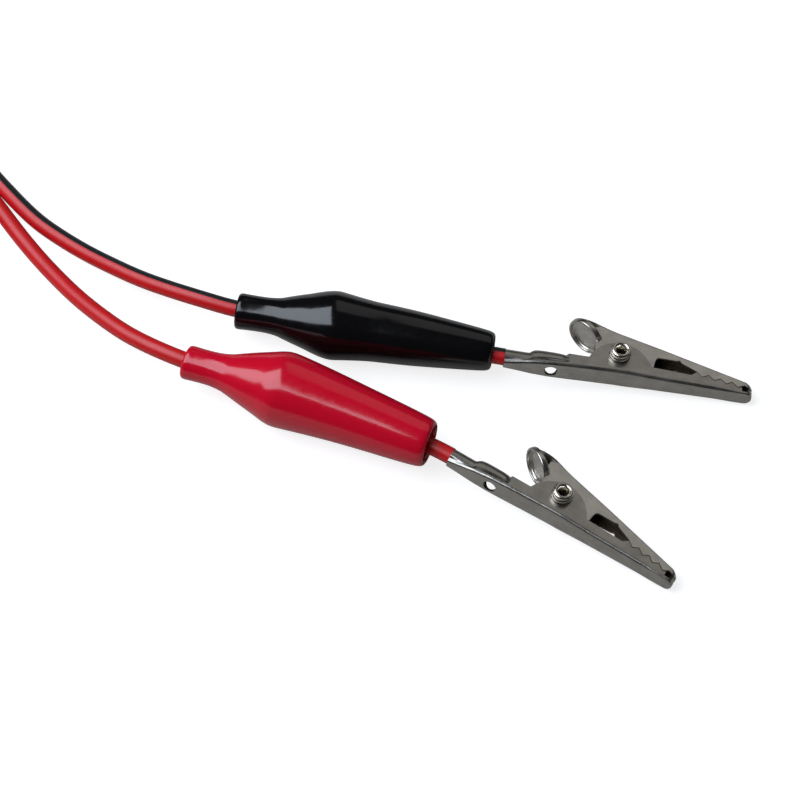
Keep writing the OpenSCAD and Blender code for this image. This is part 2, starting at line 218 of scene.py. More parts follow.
def lathe(name, profile, sides, matrix=None, scale=MM, material=None, closed=False, sharp=35,
          wave=None):
    """profile is [(x, r), ...] turned round the x axis. A closed profile is a ring's section.

    wave changes a point's x and r by its angle."""
    verts, faces = [], []
    n = len(profile)
    for i in range(sides):
        a = 2 * math.pi * i / sides
        for k, (x, r) in enumerate(profile):
            if wave:
                x, r = wave(x, r, a)
            verts.append((x, r * math.cos(a), r * math.sin(a)))
    last = n if closed else n - 1
    for i in range(sides):
        j = (i + 1) % sides
        for k in range(last):
            m = (k + 1) % n
            faces.append((i * n + k, i * n + m, j * n + m, j * n + k))
    if not closed:
        for k in (0, n - 1):
            if profile[k][1] > 1e-6:
                faces.append([i * n + k for i in range(sides)])
    obj = new_object(name, verts, faces, matrix, scale, material, sharp)
    if not closed:
        bm = bmesh.new()
        bm.from_mesh(obj.data)
        bmesh.ops.remove_doubles(bm, verts=bm.verts, dist=1e-5 * scale)
        bm.to_mesh(obj.data)
        bm.free()
        tidy(obj, sharp)
    return obj


def tube(name, path, start, radius, sides, material=None, stripe=None, stripe_material=None,
         scale=MM):
    """A round tube along path, with a stripe between two angles in degrees if stripe has them.

    start is the direction where the angle starts, one for the whole path or one for each point."""
    path = np.asarray(path, float)
    start = np.broadcast_to(start, path.shape)
    tangent = np.gradient(path, axis=0)
    tangent /= np.linalg.norm(tangent, axis=1)[:, None]
    p = start - (start * tangent).sum(axis=1)[:, None] * tangent
    p /= np.linalg.norm(p, axis=1)[:, None]
    q = np.cross(p, tangent)
    angle = 2 * math.pi * np.arange(sides) / sides
    rings = path[:, None, :] + radius * (np.cos(angle)[None, :, None] * p[:, None, :]
                                         + np.sin(angle)[None, :, None] * q[:, None, :])
    verts = rings.reshape(-1, 3)
    faces, striped = [], []
    for i in range(len(path) - 1):
        a, b = i * sides, (i + 1) * sides
        for j in range(sides):
            k = (j + 1) % sides
            faces.append((a + j, a + k, b + k, b + j))
            mid = (math.degrees((j + 0.5) * 2 * math.pi / sides) + 180) % 360 - 180
            striped.append(stripe is not None and stripe[0] <= mid <= stripe[1])
    faces.append(list(range(sides)))
    faces.append([(len(path) - 1) * sides + j for j in range(sides)])
    striped += [False, False]
    mesh = bpy.data.meshes.new(name)
    mesh.from_pydata([tuple(v * scale) for v in verts], [], faces)
    if material:
        mesh.materials.append(material)
    if stripe is not None:
        mesh.materials.append(stripe_material)
        mesh.polygons.foreach_set("material_index", [int(s) for s in striped])
    obj = placed(name, mesh)
    tidy(obj, 50)
    return obj


# ---------------------------------------------------------------- materials

def material(name, color, rough, metal, color_b, scale, rough_b, bump, bump_scale,
             stretch=(1, 1, 1), turn=0.0, fine=None):
    """A plain shader whose colour and roughness wander with noise, with a fine bump.

    The colour wanders from color to color_b at scale, and the roughness from rough to rough_b at
    bump_scale. bump is the depth of that finer noise. stretch draws it out, and turn turns all of
    it about z. fine is the scale and depth of a broader bump, where there is one."""
    m = bpy.data.materials.new(name)
    m.use_nodes = True
    nodes, links = m.node_tree.nodes, m.node_tree.links
    nodes.clear()

    def noise(vector, noise_scale, detail):
        node = nodes.new("ShaderNodeTexNoise")
        node.inputs["Scale"].default_value = noise_scale
        node.inputs["Detail"].default_value = detail
        links.new(vector.outputs[0], node.inputs["Vector"])
        return node

    def bumped(height, depth):
        node = nodes.new("ShaderNodeBump")
        node.inputs["Strength"].default_value = 1.0
        node.inputs["Distance"].default_value = depth
        links.new(height.outputs["Fac"], node.inputs["Height"])
        return node

    out = nodes.new("ShaderNodeOutputMaterial")
    shader = nodes.new("ShaderNodeBsdfPrincipled")
    shader.inputs["Metallic"].default_value = metal
    links.new(shader.outputs[0], out.inputs[0])
    place = nodes.new("ShaderNodeTexCoord")
    turned = nodes.new("ShaderNodeMapping")
    turned.inputs["Rotation"].default_value = (0, 0, turn)
    links.new(place.outputs["Object"], turned.inputs["Vector"])
    spread = noise(turned, scale, 4.0)
    spread.inputs["Roughness"].default_value = 0.6
    ramp = nodes.new("ShaderNodeValToRGB")
    for element, position, tint in zip(ramp.color_ramp.elements, (0.25, 0.75), (color, color_b)):
        element.position = position
        element.color = (*tint, 1)
    links.new(spread.outputs["Fac"], ramp.inputs["Fac"])
    links.new(ramp.outputs["Color"], shader.inputs["Base Color"])
    stretched = nodes.new("ShaderNodeMapping")
    stretched.inputs["Scale"].default_value = stretch
    links.new(turned.outputs[0], stretched.inputs["Vector"])
    lines = noise(stretched, bump_scale, 3.0)
    roughness = nodes.new("ShaderNodeMapRange")
    for socket, value in (
            ("From Min", 0.3), ("From Max", 0.7), ("To Min", rough), ("To Max", rough_b)):
        roughness.inputs[socket].default_value = value
    links.new(lines.outputs["Fac"], roughness.inputs["Value"])
    links.new(roughness.outputs[0], shader.inputs["Roughness"])
    relief = bumped(lines, bump)
    if fine:
        under = relief
        relief = bumped(noise(turned, fine[0], 2.0), fine[1])
        links.new(under.outputs["Normal"], relief.inputs["Normal"])
    links.new(relief.outputs["Normal"], shader.inputs["Normal"])
    return m


HEADING = {"red": 30.7, "black": 7.1}  # each clip's direction on the table, in degrees

STEEL = {}
# One nickel steel for both jaws; the lower jaw's copy is painted darker, a painted shade for the
# darker surroundings its walls reflect.
for lead in LEADS:
    for jaw, painted_shade in (("low", 0.66), ("up", 0.98)):
        dark = (0.45 * painted_shade, 0.425 * painted_shade, 0.385 * painted_shade)
        light = (0.64 * painted_shade, 0.61 * painted_shade, 0.565 * painted_shade)
        STEEL[lead, jaw] = material(
            "nickel_steel_%s_%s" % (lead, jaw), dark, 0.24, 1.0, light, scale=300, rough_b=0.38,
            bump=0.00001, bump_scale=1400, stretch=(0.12, 1, 1),
            turn=math.radians(HEADING[lead]), fine=(420, 0.00006))
# The inner faces of the jaws' sheet: dark brown steel, a painted shade for the shadow inside the
# jaws.
INSIDE_PAINTED_SHADE = material(
    "steel_inside_painted_shade", (0.10, 0.08, 0.055), 0.42, 1.0, (0.20, 0.16, 0.11), scale=500, rough_b=0.6,
    bump=0.00001, bump_scale=900, fine=(600, 0.0001))
RIVET = material(
    "rivet_nickel", (0.62, 0.57, 0.48), 0.16, 1.0, (0.72, 0.69, 0.62), scale=700, rough_b=0.26,
    bump=0.00001, bump_scale=1500)
SPRING = material(
    "spring_steel", (0.22, 0.21, 0.20), 0.28, 1.0, (0.32, 0.31, 0.30), scale=600, rough_b=0.4,
    bump=0.000004, bump_scale=3000)
STRAND = material(
    "tinned_copper", (0.62, 0.40, 0.28), 0.3, 1.0, (0.70, 0.62, 0.55), scale=900, rough_b=0.42,
    bump=0.000006, bump_scale=3000)
CABLE_RED = material(
    "cable_red", (0.54, 0.004, 0.006), 0.36, 0.0, (0.60, 0.006, 0.008), scale=180, rough_b=0.44,
    bump=0.000006, bump_scale=1500, fine=(240, 0.00002))
STRIPE = material(
    "cable_stripe", (0.006, 0.006, 0.007), 0.34, 0.0, (0.012, 0.011, 0.012), scale=180,
    rough_b=0.46, bump=0.000006, bump_scale=1500)
BOOT = {
    "red": material(
        "vinyl_red", (0.60, 0.003, 0.020), 0.13, 0.0, (0.64, 0.004, 0.025), scale=120, rough_b=0.19,
        bump=0.000004, bump_scale=900, fine=(110, 0.00005)),
    "black": material(
        "vinyl_black", (0.0022, 0.0022, 0.0026), 0.12, 0.0, (0.004, 0.0036, 0.004), scale=120,
        rough_b=0.18, bump=0.000004, bump_scale=900, fine=(110, 0.00005)),
}
PLUG = {
    "red": material(
        "plug_red", (0.52, 0.010, 0.014), 0.36, 0.0, (0.56, 0.014, 0.016), scale=300, rough_b=0.46,
        bump=0.000012, bump_scale=2500),
    "black": material(
        "plug_black", (0.010, 0.010, 0.011), 0.38, 0.0, (0.016, 0.016, 0.017), scale=300,
        rough_b=0.48, bump=0.000012, bump_scale=2500),
}
PIN = material(
    "plug_nickel", (0.66, 0.63, 0.58), 0.14, 1.0, (0.74, 0.72, 0.68), scale=500, rough_b=0.22,
    bump=0.000004, bump_scale=2500)
TIE = material(
    "tie_nylon", (0.72, 0.72, 0.70), 0.4, 0.0, (0.80, 0.80, 0.78), scale=300, rough_b=0.5,
    bump=0.00001, bump_scale=2500)

# ---------------------------------------------------------------- the two cords

CLIP_AT = {"red": (-3.2, -4.95, 6.95), "black": (7.4, 17.6, 6.8)}  # where the wire enters each clip
WIRE_D = 3.4
WIRE = {  # from each clip to the coil
    "red": [CLIP_AT["red"], (-7.5, -2.6, 7.3), (-15, 0.3, 7.4), (-23, 3.4, 7.4), (-31, 6.5, 7.5),
            (-39, 9.7, 7.6), (-47, 12.9, 7.6), (-55.5, 16.3, 7.6), (-61.8, 19.5, 7.2),
            (-67.5, 23.4, 6.1), (-72.7, 28, 5), (-77.5, 32.9, 3.8), (-82, 38.2, 2.7),
            (-86.3, 43.6, 2), (-90.5, 49.2, 1.75)],
    "black": [CLIP_AT["black"], (3, 18.3, 7.1), (-5, 20, 7.1), (-13, 21.7, 7.2), (-21, 23.4, 7.2),
              (-29, 25, 7.2), (-37.5, 26.8, 7.2), (-45.9, 28.5, 7.2), (-52.6, 30.8, 7.1),
              (-58.9, 33.6, 6.2), (-65, 36.8, 5), (-70.8, 40.5, 3.8), (-76.5, 44.4, 2.7),
              (-82.1, 48.6, 2), (-87.5, 53.1, 1.75)],
}
TAIL = {  # from the coil to each plug
    "red": [(-138.2, 47.5, 9.3), (-136.4, 42.4, 9.3), (-134, 34.5, 9.3), (-131, 27, 9.3),
            (-128, 20.5, 9.2), (-125.2, 14.5, 7.6), (-122.8, 9, 5.6), (-122, 5, 4.9),
            (-122, 1, 4.9)],
    "black": [(-141.4, 46.6, 9.3), (-139.8, 41.5, 9.3), (-138, 33.5, 9.3), (-137.2, 26.5, 9.3),
              (-138.2, 19.5, 9.2), (-140, 14, 7.6), (-141.5, 9, 5.6), (-142, 5, 4.9),
              (-142, 1, 4.9)],
}
COIL = (-132.0, 54.0)  # its centre
ENTRY, LEAVE = 40.0, 2355.0  # where the winding starts and ends, in degrees
LEAD_IN = 18.0  # the length before the coil where the pair turns on edge
CLIMB = 185  # the last degrees, where the pair climbs on top and lies down again
TURN_GAP = 3.45
OUTER = 31.5  # radius of the first turn
HALF = 1.68  # from the middle line to each core
STRIPE_ARC = (-6, 86)  # degrees round the black core, from the direction of core to core
LOW, HIGH, TOP = 1.75, 4.0, 9.3  # heights of the middle line: lying flat, on edge, on top


def twin():
    """The twin's middle line from just outside the view to the end of the coil, and its lean.

    The lean is 0 degrees where the pair lies flat and 90 where it stands on edge. The pair lies
    flat where it comes in, stands on edge in the coil and lies flat again on top."""
    middle, lean = [], []
    entry = math.radians(ENTRY)
    start = np.array([COIL[0] + OUTER * math.cos(entry), COIL[1] + OUTER * math.sin(entry)])
    ahead = np.array([-math.sin(entry), math.cos(entry)])
    for s in np.arange(LEAD_IN, 0.5, -1.5):
        on = 1 - s / LEAD_IN
        flat = start - ahead * s
        middle.append((flat[0], flat[1], LOW + (HIGH - LOW) * smooth_step(0.1, 1, on)))
        lean.append(90 * smooth_step(0.05, 1, on))
    for a in np.arange(ENTRY, LEAVE + 0.1, 7.5):
        r = OUTER - TURN_GAP * (a - ENTRY) / 360
        rise = (a - (LEAVE - CLIMB)) / CLIMB
        t = math.radians(a)
        z = HIGH + (TOP - HIGH) * smooth_step(0, 0.8, rise)
        middle.append((COIL[0] + r * math.cos(t), COIL[1] + r * math.sin(t), z))
        lean.append(90 - 90 * smooth_step(0.35, 1, rise))
    return np.array(middle), np.array(lean)


def right_of(path):
    """The level direction to the right of a line, looking along it, at each point."""
    t = np.gradient(path, axis=0)
    r = np.column_stack([t[:, 1], -t[:, 0], np.zeros(len(t))])
    return r / np.linalg.norm(r, axis=1)[:, None]


def cord_lines():
    """Each core's whole line, and for each of its points the direction from core to core."""
    middle, lean = twin()
    lean = np.radians(lean)
    pair = right_of(middle) * np.cos(lean)[:, None]
    pair[:, 2] += np.sin(lean)
    out = {}
    for lead, side in (("red", -HALF), ("black", HALF)):
        rough = np.vstack([WIRE[lead], middle + side * pair, TAIL[lead]])
        tilt = np.r_[np.zeros(len(WIRE[lead])), lean, np.zeros(len(TAIL[lead]))]
        line = through(rough, 1.1)
        at = np.interp(lengths(line), lengths(rough) / lengths(rough)[-1] * lengths(line)[-1], tilt)
        line = eased(line, 1.6)
        direction = right_of(line) * np.cos(at)[:, None]
        direction[:, 2] += np.sin(at)
        out[lead] = (line, direction)
    return out


cords = cord_lines()
cable = {}
for lead in LEADS:
    line, direction = cords[lead]
    cable[lead] = tube(
        lead + "_cable", line, direction, WIRE_D / 2, 32, CABLE_RED,
        stripe=STRIPE_ARC if lead == "black" else None, stripe_material=STRIPE)
    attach(cable[lead], "leads")
    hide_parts(lead + "_wire", lead + "_tail")
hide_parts("cable_coil")

# ---------------------------------------------------------------- clips

# Each clip lies on its side. In its own frame x points to the nose, z up through the roof, and the
# rivet is at the origin.
CLIP = {}
for lead, roll in (("red", 8), ("black", 6)):
    CLIP[lead] = (
        Matrix.Translation(CLIP_AT[lead])
        @ Matrix.Rotation(math.radians(-HEADING[lead]), 4, "Z")
        @ Matrix.Rotation(math.radians(5.5), 4, "Y")
        @ Matrix.Rotation(math.radians(-90 - roll), 4, "X")
        @ Matrix.Translation((22.5, 0, 3.15)))

REAR, NOSE = -22.5, 26.9
NOSE_FROM, NOSE_MIN = 25.3, 0.56  # where the plan starts to round off, and the least half width
SHEET = 0.45
FLOOR = -4.25
LOW_WALL = -1.7
EAR_X, EAR_Z, EAR_R = 0.2, -3.75, 6.5
TOOTH_STEP = 1.2
TEETH = [(15.55 + TOOTH_STEP * k, -1.31 - 0.145 * TOOTH_STEP * k + (0.42 if k % 2 == 0 else -0.42))
         for k in range(9)]
ROOF = [(-8.6, 7.3), (-7.6, 7.42), (-6.6, 7.42), (-5.6, 7.3), (-4.6, 7.07), (-3.4, 6.67),
        (-1.5, 6.0), (0, 5.55), (26.0, -1.36)]
BARREL_Z = -3.42  # the axis of the wire barrel
N_FLAT, N_FOLD, N_WALL = 4, 5, 16  # steps of a section: half the floor or roof, the fold, the wall


def table(x, points):
    return float(np.interp(x, [p[0] for p in points], [p[1] for p in points]))


def nose_round(x, half):
    """Both jaws end in a rounded nose in plan."""
    if x <= NOSE_FROM:
        return half
    t = min((x - NOSE_FROM) / (NOSE - NOSE_FROM), 1.0)
    return max(half * math.sqrt(max(1 - t ** 2.6, 0.0)), NOSE_MIN)


def low_half_width(x):
    return nose_round(x, table(x, [(-22.5, 1.1), (-20, 1.5), (-17, 2.05), (-13.5, 2.42), (-10, 2.5),
                                   (2, 2.5), (7, 2.2), (26, 1.68)]))


def low_floor(x):
    """The floor bends down a little towards the wire barrel."""
    return FLOOR - 0.95 * min(max(x / REAR, 0), 1) ** 1.15


def low_top(x):
    """The top of the lower jaw's wall: the ear round the rivet, then the teeth and the lip."""
    if x < 6.44:
        dx = abs(x - EAR_X)
        ear = EAR_Z + math.sqrt(max(EAR_R ** 2 - dx ** 2, 0.0)) if dx < EAR_R else -9
        return max(LOW_WALL, ear)
    return table(x, [(6.44, -1.7), (14.5, -1.9)] + [(p[0], p[1] - 0.12) for p in TEETH[:8]]
                 + [(24.7, -2.8), (24.8, -3.72), (25.9, -3.72), (26.0, -2.86), (26.9, -2.86)])


def curl(k, w, base, fold, radius, height, first, n_foot):
    """Point k of a wall that leaves the fold and curls over round a circle.

    It meets the circle at point n_foot, at the angle first, and ends just short of the top."""
    if k < n_foot:
        t, a = k / n_foot, math.radians(first)
        y, z = radius * math.cos(a), height + radius * math.sin(a)
        return w + (y - w) * smooth_step(0, 1, t), base + fold + (z - base - fold) * t
    a = math.radians(first + (86 - first) * (k - n_foot) / (N_WALL - n_foot))
    return radius * math.cos(a), height + radius * math.sin(a)


def low_section(x):
    """Half of the lower jaw's outer section at x, from the middle of its floor to its wall's top.

    From the rear the wall is a ring round the wire, then an arch over its bare end, then open."""
    w, fold, base = low_half_width(x), 0.62 - 0.32 * smooth_step(19, 24.4, x), low_floor(x)
    f = min(fold, 0.7 * w)
    half = [((w - f) * k / N_FLAT, base) for k in range(N_FLAT + 1)]
    for k in range(1, N_FOLD + 1):
        a = math.radians(-90 + 90 * k / N_FOLD)
        half.append((w - f + f * math.cos(a), base + fold + fold * math.sin(a)))
    top = low_top(x)
    hump = -2.55 - 0.3 * abs((x + 13.7) / 3.3) ** 4
    to_arch = smooth_step(-17.9, -17.0, x)
    to_open = smooth_step(-10.9, -10.0, x)
    for k in range(1, N_WALL + 1):
        ring = np.array(curl(k, w, base, fold, 1.8, BARREL_Z, -20, 3))
        arch = np.array(curl(k, w, base, fold, 1.92, hump, -8, 4))
        wall = np.array((w, base + fold + (top - base - fold) * k / N_WALL))
        closed = ring * (1 - to_arch) + arch * to_arch
        half.append(closed * (1 - to_open) + wall * to_open)
    return half


def roof_z(x):
    return table(x, ROOF) - 0.55 * smooth_step(25.6, 26.9, x)


UP_BOTTOM = [(-8.45, 6.8), (-4.95, 4.3), (-4.9, 1.4), (-4.2, -1.2), (-2.0, -2.6), (2.6, -2.7),
             (6.4, -1.6), (6.95, -1.35), (7.05, -0.4), (7.25, 0.6), (7.7, 1.0), (11.2, 1.0),
             (12.0, 1.2), (12.45, 0.62), (12.9, 0.42)]
UP_BOTTOM += [(p[0], p[1] + 0.12) for p in TEETH] + [(26.1, -2.6), (26.9, -2.6)]
UP_FOLD = 0.42


def up_half_width(x, z):
    """Half width of the upper jaw: it steps out in an arc past the lower jaw's ears."""
    inner = table(x, [(-9, 1.95), (2, 1.95), (6, 1.84), (9, 1.84)])
    outer = table(x, [(-9, 1.95), (3, 2.0), (8.5, 2.02), (26, 1.66)])
    far = math.hypot(x - EAR_X, z - EAR_Z)
    return nose_round(x, inner + (outer - inner) * smooth_step(6.75, 8.0, far))


def up_section(x):
    """Half of the upper jaw's outer section at x, from its roof's middle to its wall's foot."""
    edge, low = roof_z(x) - UP_FOLD, table(x, UP_BOTTOM)
    w = up_half_width(x, edge)
    f = min(UP_FOLD, 0.7 * w)
    half = [((w - f) * k / N_FLAT, roof_z(x)) for k in range(N_FLAT + 1)]
    for k in range(1, N_FOLD + 1):
        a = math.radians(90 - 90 * k / N_FOLD)
        half.append((w - f + f * math.cos(a), edge + UP_FOLD * math.sin(a)))
    for k in range(1, N_WALL + 1):
        z = edge + (low - roof_z(x) + UP_FOLD) * k / N_WALL
        half.append((up_half_width(x, z), z))
    return half


def stations(first, last, step, extra):
    """Where the sections are: a step apart and at each extra x, with none closer than 0.06."""
    extra = {round(float(e), 3) for e in extra}
    xs = set(np.round(np.arange(first, last + 1e-6, step), 3))
    xs = sorted(xs | {e for e in extra if first <= e <= last} | {first, last})
    keep = extra | {first, last}
    kept = [xs[0]]
    for x in xs[1:]:
        if x - kept[-1] >= 0.06:
            kept.append(x)
        elif x in keep and kept[-1] not in keep:
            kept[-1] = x
    return kept


def pressed(name, xs, section):
    """A sheet of no thickness yet, bent to a section that changes along x."""
    rows = []
    for x in xs:
        half = section(x)
        rows.append([(x, -p[0], p[1]) for p in half[:0:-1]] + [(x, p[0], p[1]) for p in half])
    n = len(rows[0])
    verts = [v for row in rows for v in row]
    faces = [(i * n + k, i * n + k + 1, (i + 1) * n + k + 1, (i + 1) * n + k)
             for i in range(len(rows) - 1) for k in range(n - 1)]
    mesh = bpy.data.meshes.new(name)
    mesh.from_pydata(verts, [], faces)
    return placed(name, mesh)


def dressed(obj, *mats):
    """Puts the materials on and keeps which face has which."""
    worn = [p.material_index for p in obj.data.polygons]
    obj.data.materials.clear()
    for m in mats:
        obj.data.materials.append(m)
    obj.data.polygons.foreach_set("material_index", [min(k, len(mats) - 1) for k in worn])


def thick(obj, outward):
    """Gives the sheet its thickness, with the dark inside steel, a painted shade, on the side away
    from outward.
    """
    bm = bmesh.new()
    bm.from_mesh(obj.data)
    bmesh.ops.recalc_face_normals(bm, faces=bm.faces)
    bm.normal_update()
    sign = sum(f.normal.dot(outward(f.calc_center_median())) * f.calc_area() for f in bm.faces)
    if sign < 0:
        bmesh.ops.reverse_faces(bm, faces=bm.faces)
    bm.to_mesh(obj.data)
    bm.free()
    for _ in range(2):  # an outer slot, which dressed() fills again, and an inner one
        obj.data.materials.append(INSIDE_PAINTED_SHADE)
    m = obj.modifiers.new("sheet", "SOLIDIFY")
    m.material_offset = 1
    m.thickness = SHEET
    m.offset = -1
    m.use_even_offset = True
    m.use_quality_normals = True
    settle(obj)


def cylinder_cutter(at, axis, radius, height, sides=64):
    bm = bmesh.new()
    bmesh.ops.create_cone(
        bm, cap_ends=True, segments=sides, radius1=radius, radius2=radius, depth=height)
    mesh = bpy.data.meshes.new("cutter")
    bm.to_mesh(mesh)
    bm.free()
    turn = Vector((0, 0, 1)).rotation_difference(Vector(axis)).to_matrix().to_4x4()
    mesh.transform(Matrix.Translation(at) @ turn)
    return placed("cutter", mesh)


def box_cutter(low, high):
    bm = bmesh.new()
    bmesh.ops.create_cube(bm, size=1)
    bmesh.ops.scale(bm, vec=Vector(high) - Vector(low), verts=bm.verts)
    bmesh.ops.translate(bm, vec=(Vector(high) + Vector(low)) / 2, verts=bm.verts)
    mesh = bpy.data.meshes.new("cutter")
    bm.to_mesh(mesh)
    bm.free()
    return placed("cutter", mesh)


def lower_jaw(lead):
    steep = [EAR_X + side * far for side in (-1, 1) for far in (5.65, 5.85, 6.0, 6.1)] + [6.44]
    lip = [14.5, 24.7, 24.8, 25.9, 26.0, 26.6, 26.8]
    xs = stations(REAR, NOSE, 0.4, steep + [p[0] for p in TEETH] + lip)
    obj = pressed(lead + "_jaw_lower", xs, low_section)
    thick(obj, lambda c: Vector((0, c.y, min(c.z + 2.4, 0) * 2 - 0.01)))
    cut(obj, [
        cylinder_cutter((-13.1, 0.15, -4.9), (0, 0, 1), 1.35, 2.4),  # the hole in the floor
        cylinder_cutter((0, 0, 0), (0, 1, 0), 1.13, 12),  # the rivet's holes
        cylinder_cutter((-13.1, 2.4, -2.75), (0, 1, 0), 1.25, 2.4, 40),  # the hole in one wall
    ])
    bevelled(obj)
    cleaned(obj)
    return obj


PAD_TILT = 35.7
PAD_AT = {"red": (-7.8, 0, 4.25), "black": (-7.25, 0, 4.65)}  # the red one is bent back a little


def thumb_pad(lead):
    """The round thumb pad, a shallow cup with a rolled rim."""
    lip, edge = 0.16, 0.4
    profile = [(0.85, 0.0), (0.85, 3.1), (0.8, 3.32), (0.66, 3.45), (0.2, 3.5)]
    profile += [(0.2 - lip * math.sin(a), 3.66 - lip * math.cos(a))
                for a in np.linspace(0.3, math.pi / 2, 4)]
    profile += [(0.04, 3.8), (0.1, 3.92), (0.2, 3.98), (0.34, 4.0), (0.9, 4.0)]
    profile += [(0.9 + edge * math.sin(a), 3.6 + edge * math.cos(a))
                for a in np.linspace(0.2, math.pi / 2, 6)]
    profile += [(1.3, 0.0)]
    tilt = Matrix.Translation(PAD_AT[lead]) @ Matrix.Rotation(math.radians(PAD_TILT - 90), 4, "Y")
    return lathe("pad", profile, 96, tilt, scale=1.0, sharp=40)


def upper_jaw(lead):
    """The folded sheet with the teeth. The shoulder and the pad are closed shells of their own."""
    xs = stations(-5.6, NOSE, 0.4, [p[0] for p in UP_BOTTOM] + [26.6, 26.8])
    obj = pressed(lead + "_jaw_upper", xs, up_section)
    thick(obj, lambda c: Vector((0, c.y, max(c.z - roof_z(c.x) + 0.6, 0) * 3 + 0.01)))
    cut(obj, [cylinder_cutter((0, 0, 0), (0, 1, 0), 1.16, 12)])
    bevelled(obj)
    cleaned(obj)
    joined(obj, [shoulder(lead), thumb_pad(lead)])
    return obj


def shoulder(lead):
    """The roof behind the walls: it widens and bends down at its edges to meet the pad."""
    back = PAD_AT["black"][0] - PAD_AT[lead][0]
    down = PAD_AT["black"][2] - PAD_AT[lead][2]
    rows = []
    for x in np.linspace(-3.2, -8.45 - back, 22):
        w = 1.9 + 1.5 * smooth_step(-3.6, -8.2, x)
        turned_down = 0.10 + 0.55 * smooth_step(-3.6, -7.5, x)
        top = roof_z(x) - 0.02 - down * smooth_step(-4.5, -8.8, x)
        upper, lower = [], []
        for u in np.linspace(-1, 1, 17):
            drop = turned_down * abs(u) ** 3
            upper.append((x, w * u, top - drop))
            lower.append((x, (w - 0.05) * u, top - drop - SHEET))
        rows.append(upper + lower[::-1])
    m = len(rows[0])
    verts = [v for row in rows for v in row]
    faces = [(i * m + k, i * m + (k + 1) % m, (i + 1) * m + (k + 1) % m, (i + 1) * m + k)
             for i in range(len(rows) - 1) for k in range(m)]
    faces += [list(range(m)), [(len(rows) - 1) * m + k for k in range(m)]]
    return new_object("shoulder", verts, faces, None, 1.0)


def eyelet(lead):
    """A tubular rivet on a collar, rolled over at both ends, with a slightly split mouth."""
    def mouth(x, r, a):
        if r < 1.3:
            r += (0.05 * abs(math.sin(3.5 * a)) - 0.03) * smooth_step(2.6, 3.3, abs(x))
        return x, r

    def head(lift):
        return [(2.5 + lift * x, r) for x, r in (
            (0.02, 1.13), (0.01, 1.98), (0.08, 2.12), (0.22, 2.16), (0.36, 2.1), (0.44, 1.98),
            (0.50, 2.0), (0.62, 2.06), (0.78, 2.04), (0.9, 1.92), (0.97, 1.74), (1.0, 1.55),
            (0.97, 1.36), (0.87, 1.18), (0.7, 1.02), (0.48, 0.86), (0.2, 0.75), (-0.2, 0.70),
            (-1.0, 0.70))]

    profile = head(1.3) + [(-x, r) for x, r in reversed(head(1.95))]
    turned = Matrix.Rotation(math.radians(90), 4, "Z")
    return lathe(lead + "_rivet", profile, 84, turned, scale=1.0, closed=True, sharp=60, wave=mouth)


def torsion_spring(lead):
    """Close turns round the rivet, with a leg to the floor and a leg to the roof."""
    turn_r, wire_r, side = 1.6, 0.3, 0.85
    first, last = -100, 1200
    path = [(-8.0, side, -3.15), (-5.5, side, -2.7), (-3.0, side, -2.2)]
    for a in np.arange(first, last + 1, 12):
        y = side - 2 * side * (a - first) / (last - first)
        path.append((turn_r * math.cos(math.radians(-a)), y, turn_r * math.sin(math.radians(-a))))
    path += [(-1.75, -side, 1.6), (-1.95, -side, 2.9), (-2.2, -side, 4.3)]
    line = eased(through(path, 0.22), 1.2)
    return tube(lead + "_spring", line, (0, 1, 0.03), wire_r, 12, scale=1.0)


def conductor(lead):
    """The squeezed end of the insulation in the barrel, and the bare strands beyond it."""
    profile = [(-22.9, 0), (-22.9, 1.25), (-22.6, 1.33), (-18.0, 1.33), (-17.75, 1.2), (-17.7, 0)]
    barrel = Matrix.Translation((0, 0, BARREL_Z))
    squeezed = lathe(lead + "_core_end", profile, 48, barrel, scale=1.0)
    strands = []
    for k in range(12):  # eight in a ring round four
        far, a0 = (0.62, 360 * k / 8) if k < 8 else (0.26, 90 * (k - 8))
        path = []
        for x in np.arange(-17.9, -10.2 + 0.15 * (k % 4), 0.4):
            a = math.radians(a0 + 22 * (x + 18))
            z = -3.3 + 0.95 * smooth_step(-17.6, -14.8, x)
            path.append((x, far * math.cos(a), z + far * math.sin(a)))
        strands.append(tube(lead + "_strands", path, (0, 0, 1), 0.17, 8, scale=1.0))
    joined(strands[0], strands[1:])
    return squeezed, strands[0]


for lead in LEADS:
    place = CLIP[lead]
    low, up, rivet, spring = lower_jaw(lead), upper_jaw(lead), eyelet(lead), torsion_spring(lead)
    squeezed, strands = conductor(lead)
    for obj, mats, body, node, slot_name in (
            (low, (STEEL[lead, "low"], INSIDE_PAINTED_SHADE), "leads", "_lower_jaw", "jaw_steel"),
            (up, (STEEL[lead, "up"], INSIDE_PAINTED_SHADE), lead + "_jaw", "_upper_jaw", "jaw_steel"),
            (rivet, (RIVET,), "leads", "_pivot_rivet", "rivet_steel"),
            (spring, (SPRING,), "leads", "_jaw_spring", "spring_steel"),
            (squeezed, (CABLE_RED,), "leads", None, "red_cable"),
            (strands, (STRAND,), "leads", "_crimped_core", "copper_strand")):
        moved(obj, place)
        dressed(obj, *mats)
        tidy(obj, 38)
        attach(obj, body)
        if node:
            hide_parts(lead + node)

# ---------------------------------------------------------------- boots

